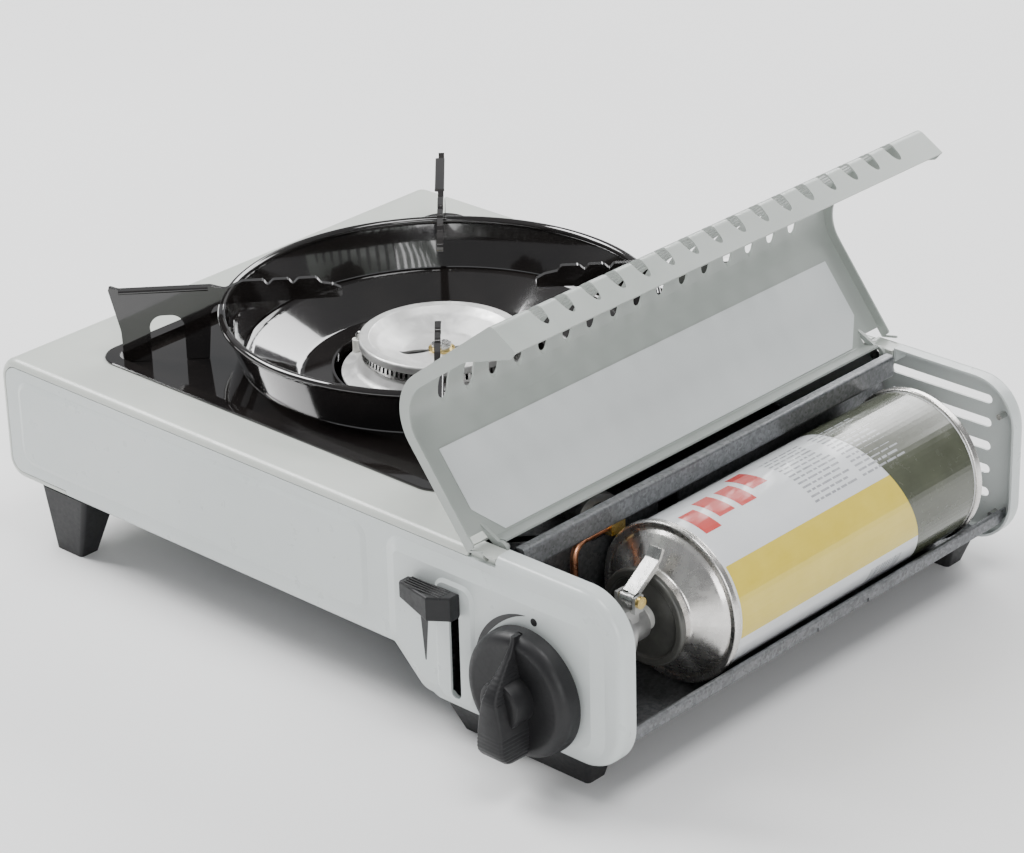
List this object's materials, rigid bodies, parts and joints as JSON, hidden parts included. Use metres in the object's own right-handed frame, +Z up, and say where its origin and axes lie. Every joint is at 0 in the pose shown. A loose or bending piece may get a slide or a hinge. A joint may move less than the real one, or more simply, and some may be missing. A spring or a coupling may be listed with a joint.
{
  "type": "portable gas stove",
  "caption": "Portable camping stove with a round burner, black enamel drip pan and pot support, and a hinged slotted lid open over the gas cartridge bay.",
  "frame": {"origin": "middle of the stove's bounding box, on the surface it stands on", "axes": "+X from the burner end to the cartridge end, +Y from the knob side to the back, +Z up"},
  "size_m": [0.3466, 0.2782, 0.1799],
  "materials": {
    "body_paint": "satin",
    "top_paint": "satin",
    "lid_paint": "satin",
    "galvanised": "satin",
    "plated_steel": "satin",
    "black_enamel": "gloss",
    "cast_alloy": "satin",
    "zinc_alloy": "satin",
    "brass": "satin",
    "copper": "satin",
    "charcoal_plastic": "matte",
    "white_plastic": "gloss",
    "ceramic_white": "gloss",
    "lead_rubber": "matte",
    "label_paper": "satin",
    "can_print": "gloss",
    "tinplate": "polished",
    "collar_grey": "satin"
  },
  "bodies": {
    "stove_body": {"top_plate": "top_paint", "front_panel": "body_paint", "back_panel": "body_paint", "burner_underplate": "galvanised", "gas_tray": "galvanised", "heat_shield": "galvanised", "hinge_channel": "galvanised", "hinge_lug_front": "top_paint", "hinge_lug_back": "top_paint", "hinge_pin_front": "plated_steel", "hinge_pin_back": "plated_steel", "foot_front_left": "charcoal_plastic", "foot_back_left": "charcoal_plastic", "skid_front_right": "charcoal_plastic", "skid_back_right": "charcoal_plastic", "foot_screws": "plated_steel", "back_screws": "plated_steel", "burner_body": "cast_alloy", "flame_ring": "plated_steel", "burner_bowl": "cast_alloy", "burner_screw": "plated_steel", "burner_washer": "brass", "mixing_tube": "cast_alloy", "igniter_ceramic": "ceramic_white", "igniter_electrode": "plated_steel", "piezo_unit": "charcoal_plastic", "igniter_lead": "lead_rubber", "gas_jet": "brass", "gas_pipe": "copper", "valve_body": "zinc_alloy", "valve_cover": "zinc_alloy", "valve_bracket": "plated_steel", "catch_pin": "brass", "catch_spring": "plated_steel", "slot_guide": "white_plastic"},
    "lid": {"lid_panel": "lid_paint", "lid_label": "label_paper"},
    "drip_pan": {"drip_pan": "black_enamel"},
    "pot_support": {"support_ring": "black_enamel", "support_arm_1": "black_enamel", "support_arm_2": "black_enamel", "support_arm_3": "black_enamel", "support_arm_4": "black_enamel"},
    "knob_push": {"knob_sleeve": "white_plastic", "knob_spring": "plated_steel"},
    "knob": {"knob": "charcoal_plastic", "valve_spindle": "plated_steel"},
    "lock_lever": {"lock_grip": "charcoal_plastic", "lock_plate": "plated_steel"},
    "cartridge": {"cartridge_carriage": "plated_steel", "cartridge_body": "can_print", "cartridge_dome": "tinplate", "cartridge_collar": "collar_grey", "cartridge_stem": "white_plastic", "cartridge_base": "tinplate"},
    "catch": {"catch_lever": "plated_steel"}
  },
  "joints": [
    {"name": "lid_hinge", "type": "hinge", "parent": "stove_body", "child": "lid", "pos_m": [0.10575, 0.01245, 0.083], "axis": [0, 1, 0], "range_deg": [0, 128]},
    {"name": "drip_pan_lift", "type": "slide", "parent": "stove_body", "child": "drip_pan", "axis": [0, 0, 1], "range_m": [0, 0.06]},
    {"name": "pot_support_lift", "type": "slide", "parent": "drip_pan", "child": "pot_support", "axis": [0, 0, 1], "range_m": [0, 0.06]},
    {"name": "knob_press", "type": "slide", "parent": "stove_body", "child": "knob_push", "axis": [0, 1, 0], "range_m": [0, 0.0016], "stiffness_N_per_m": 900, "springref_m": -0.001, "deforming": ["knob_spring"]},
    {"name": "knob_turn", "type": "hinge", "parent": "knob_push", "child": "knob", "pos_m": [0.13115, -0.12255, 0.0389], "axis": [0, -1, 0], "range_deg": [0, 110]},
    {"name": "lock_lever_slide", "type": "slide", "parent": "stove_body", "child": "lock_lever", "axis": [0, 0, -1], "range_m": [0, 0.035]},
    {"name": "cartridge_feed", "type": "slide", "parent": "stove_body", "child": "cartridge", "axis": [0, -1, 0], "range_m": [0, 0.0022]},
    {"name": "catch_pivot", "type": "hinge", "parent": "stove_body", "child": "catch", "pos_m": [0.14275, -0.07325, 0.0634], "axis": [1, 0, 0], "range_deg": [0, 14], "stiffness_Nm_per_rad": 0.01, "springref_deg": -5.73}
  ],
  "couplings": [
    {"joint": "cartridge_feed", "follows": "lock_lever_slide", "ratio": 0.062857}
  ]
}
